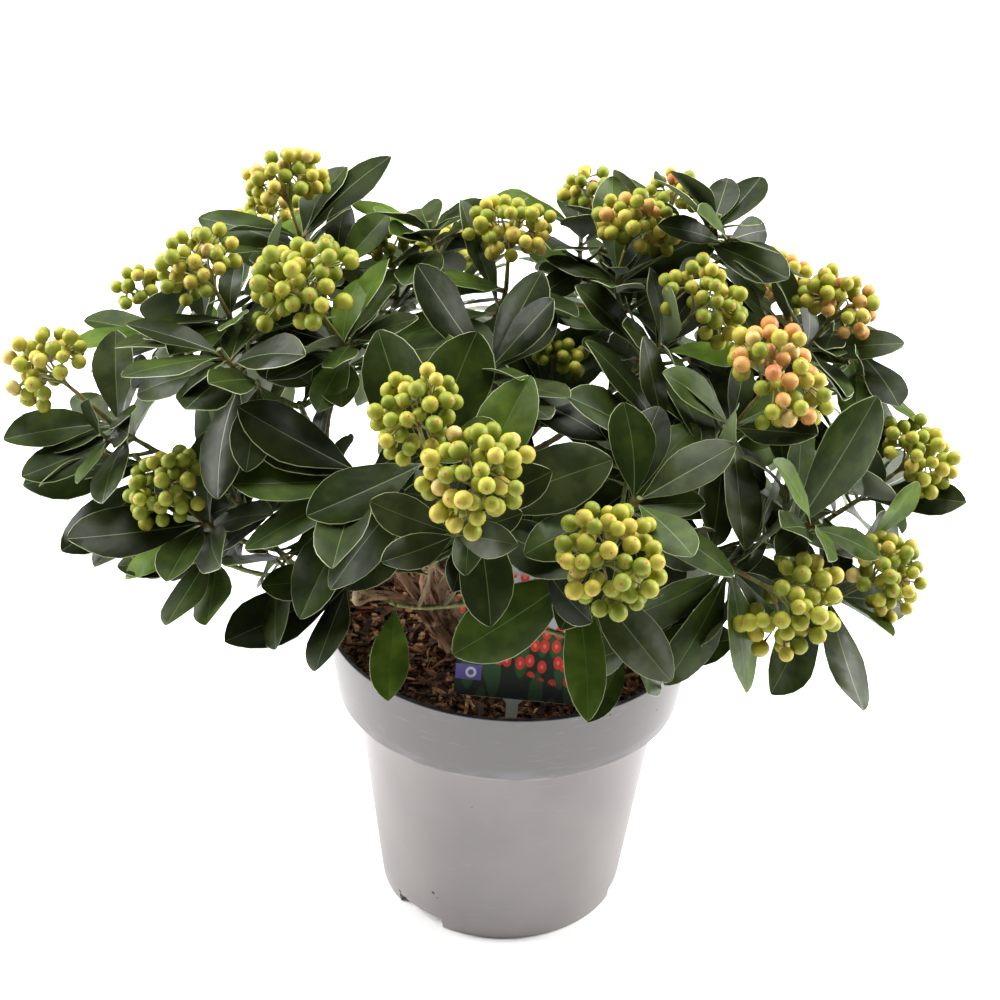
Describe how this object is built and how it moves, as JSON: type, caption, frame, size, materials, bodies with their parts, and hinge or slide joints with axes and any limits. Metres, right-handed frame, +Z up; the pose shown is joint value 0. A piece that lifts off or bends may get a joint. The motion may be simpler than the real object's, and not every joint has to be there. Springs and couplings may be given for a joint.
{
  "type": "potted skimmia",
  "caption": "Evergreen shrub in berry in a round tapered nursery pot filled with bark mulch, with leathery leaves in whorls, heads of green berries and a plant label.",
  "frame": {"origin": "centre of the pot's flat underside, on the pot's axis", "axes": "+Z up along the pot's axis, -Y towards the side that the picture shows, +X to that side's right"},
  "size_m": [0.6447, 0.5144, 0.569],
  "materials": {
    "pot_plastic": "satin",
    "bark_mulch": "matte",
    "label_plastic": "satin",
    "bark": "matte",
    "green_wood": "satin",
    "foliage": "satin"
  },
  "bodies": {
    "root": {"pot": "pot_plastic", "mulch": "bark_mulch", "label": "label_plastic", "trunk": "bark", "stem_left": "bark", "stem_low_left": "bark", "stem_front": "bark", "stem_centre": "bark", "stem_right": "bark", "stem_back": "bark", "bough_far_left": "green_wood", "bough_left_high": "green_wood", "bough_upper_left": "green_wood", "bough_top_left": "green_wood", "bough_left_low": "green_wood", "bough_left_hem": "green_wood", "bough_front_left": "green_wood", "bough_front_hem": "green_wood", "bough_front_centre": "green_wood", "bough_front_right": "green_wood", "bough_heart": "green_wood", "bough_top_centre": "green_wood", "bough_top_back": "green_wood", "bough_top_right": "green_wood", "bough_upper_right": "green_wood", "bough_right_high": "green_wood", "bough_right_front": "green_wood", "bough_far_right": "green_wood", "bough_right_low": "green_wood", "bough_back_left": "green_wood", "bough_back_centre": "green_wood", "bough_back_right": "green_wood", "bough_right_back": "green_wood", "foliage_far_left": "foliage", "foliage_left_high": "foliage", "foliage_upper_left": "foliage", "foliage_top_left": "foliage", "foliage_left_low": "foliage", "foliage_left_hem": "foliage", "foliage_front_left": "foliage", "foliage_front_hem": "foliage", "foliage_front_centre": "foliage", "foliage_front_right": "foliage", "foliage_heart": "foliage", "foliage_top_centre": "foliage", "foliage_top_back": "foliage", "foliage_top_right": "foliage", "foliage_upper_right": "foliage", "foliage_right_high": "foliage", "foliage_right_front": "foliage", "foliage_far_right": "foliage", "foliage_right_low": "foliage", "foliage_back_left": "foliage", "foliage_back_centre": "foliage", "foliage_back_right": "foliage", "foliage_right_back": "foliage"}
  },
  "joints": []
}
